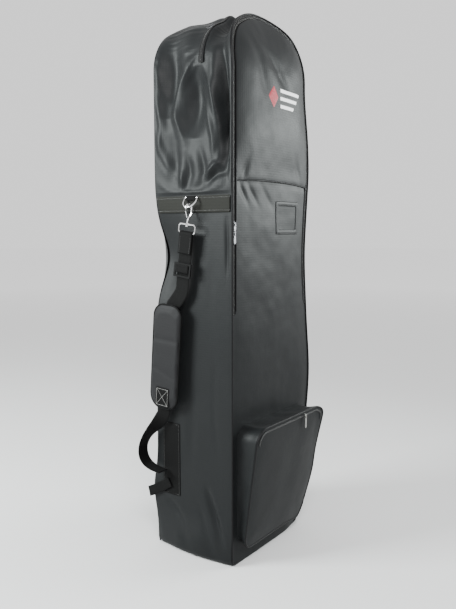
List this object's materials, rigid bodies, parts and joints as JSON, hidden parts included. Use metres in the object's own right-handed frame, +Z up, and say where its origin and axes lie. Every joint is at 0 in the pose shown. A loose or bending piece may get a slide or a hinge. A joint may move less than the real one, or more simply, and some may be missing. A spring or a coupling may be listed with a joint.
{
  "type": "golf travel case",
  "caption": "Tall soft travel cover for a golf bag: arched front panel that unzips and folds down, crown zip, front pocket, side shoulder strap on snap hook and D-ring.",
  "frame": {"origin": "middle of the base's underside, on the floor", "axes": "+Z up, -Y the front with the pocket, -X the side with the shoulder strap"},
  "size_m": [0.3755, 0.3265, 1.2723],
  "materials": {
    "nylon": "matte",
    "webbing": "matte",
    "zip_tape": "matte",
    "zip_coil": "satin",
    "piping": "satin",
    "foam": "matte",
    "board": "matte",
    "slider_metal": "satin",
    "chrome": "polished",
    "black_plastic": "satin",
    "clear_film": "gloss",
    "red_thread": "satin",
    "white_thread": "satin"
  },
  "bodies": {
    "case": {"back_panel": "nylon", "left_side_lower": "nylon", "left_side_upper": "nylon", "right_side_lower": "nylon", "right_side_upper": "nylon", "crown_gusset_front": "nylon", "crown_gusset_rear": "nylon", "base_panel": "nylon", "base_board": "board", "front_lower_panel": "nylon", "front_piping": "piping", "back_piping": "piping", "left_webbing_band": "webbing", "right_webbing_band": "webbing", "front_zip_tape_case": "zip_tape", "front_zip_coil_case": "zip_coil", "top_zip_tape": "zip_tape", "top_zip_coil": "zip_coil", "pocket_gusset": "nylon", "pocket_face": "nylon", "pocket_piping": "piping", "pocket_zip_tape": "zip_tape", "pocket_zip_coil": "zip_coil", "d_ring_tab": "webbing", "lower_anchor_patch": "webbing", "strap_tail": "webbing"},
    "lid": {"front_mid_panel": "nylon", "front_upper_panel": "nylon", "seam_welt": "piping", "lid_piping": "piping", "front_zip_tape_lid": "zip_tape", "front_zip_coil_lid": "zip_coil", "hood_padding": "foam", "id_window_frame": "webbing", "id_window_film": "clear_film", "emblem_diamond": "red_thread", "emblem_stripe_top": "white_thread", "emblem_stripe_middle": "white_thread", "emblem_stripe_bottom": "white_thread"},
    "strap": {"strap_upper_webbing": "webbing", "shoulder_pad": "nylon", "pad_end_patch": "webbing", "strap_lower_webbing": "webbing", "swivel_eye": "chrome"},
    "hook": {"snap_hook": "chrome"},
    "gate": {"hook_gate": "chrome"},
    "glide": {"tri_glide": "black_plastic", "strap_sewn_end": "webbing"},
    "ring": {"d_ring": "chrome"},
    "upper_slider": {"front_slider_upper": "slider_metal"},
    "upper_pull": {"front_pull_upper": "slider_metal"},
    "lower_slider": {"front_slider_lower": "slider_metal"},
    "lower_pull": {"front_pull_lower": "slider_metal"},
    "crown_slider": {"top_slider": "slider_metal"},
    "crown_pull": {"top_ring_pull": "slider_metal"},
    "pouch_slider": {"pocket_slider": "chrome"},
    "pouch_pull": {"pocket_pull": "chrome"}
  },
  "joints": [
    {"name": "lid_fold", "type": "hinge", "parent": "case", "child": "lid", "pos_m": [0, -0.111, 0.59], "axis": [1, 0, 0], "range_deg": [0, 110]},
    {"name": "strap_swing", "type": "hinge", "parent": "case", "child": "strap", "pos_m": [-0.187, -0.008, 0.832], "axis": [0, -0.1302, 0.9915], "range_deg": [0, 55]},
    {"name": "hook_swivel", "type": "hinge", "parent": "strap", "child": "hook", "pos_m": [-0.187, -0.008, 0.832], "axis": [0, -0.1302, 0.9915], "range_deg": [-55, 0]},
    {"name": "hook_gate_turn", "type": "hinge", "parent": "hook", "child": "gate", "pos_m": [-0.1902, -0.00533, 0.81167], "axis": [0, 0.9915, 0.1302], "range_deg": [0, 18], "stiffness_Nm_per_rad": 0.02, "springref_deg": -11.46},
    {"name": "tri_glide_slide", "type": "slide", "parent": "strap", "child": "glide", "axis": [0, -0.1302, 0.9915], "range_m": [-0.03, 0.012]},
    {"name": "d_ring_tilt", "type": "hinge", "parent": "case", "child": "ring", "pos_m": [-0.1727, -0.004, 0.857], "axis": [0, 1, 0], "range_deg": [0, 4]},
    {"name": "front_upper_slide", "type": "slide", "parent": "case", "child": "upper_slider", "axis": [0, 0, 1], "range_m": [0, 0.345]},
    {"name": "front_upper_pull_swing", "type": "hinge", "parent": "upper_slider", "child": "upper_pull", "pos_m": [-0.1585, -0.1156, 0.7969], "axis": [-1, 0, 0], "range_deg": [0, 160]},
    {"name": "front_lower_slide", "type": "slide", "parent": "case", "child": "lower_slider", "axis": [0, 0, 1], "range_m": [-0.165, 0]},
    {"name": "front_lower_pull_swing", "type": "hinge", "parent": "lower_slider", "child": "lower_pull", "pos_m": [-0.1585, -0.1156, 0.7769], "axis": [-1, 0, 0], "range_deg": [0, 160]},
    {"name": "top_slider_arc", "type": "hinge", "parent": "case", "child": "crown_slider", "pos_m": [-0.061, -0.029, 1.15249], "axis": [0, 1, 0], "range_deg": [-47, 12]},
    {"name": "top_ring_swing", "type": "hinge", "parent": "crown_slider", "child": "crown_pull", "pos_m": [-0.12516, -0.029, 1.24234], "axis": [0, 1, 0], "range_deg": [0, 160]},
    {"name": "pocket_slide", "type": "slide", "parent": "case", "child": "pouch_slider", "axis": [1, 0, 0], "range_m": [-0.165, 0.057]},
    {"name": "pocket_pull_swing", "type": "hinge", "parent": "pouch_slider", "child": "pouch_pull", "pos_m": [0.054, -0.18161, 0.3249], "axis": [-1, 0, 0], "range_deg": [0, 160]}
  ],
  "couplings": [
    {"joint": "hook_swivel", "follows": "strap_swing", "ratio": -1}
  ]
}
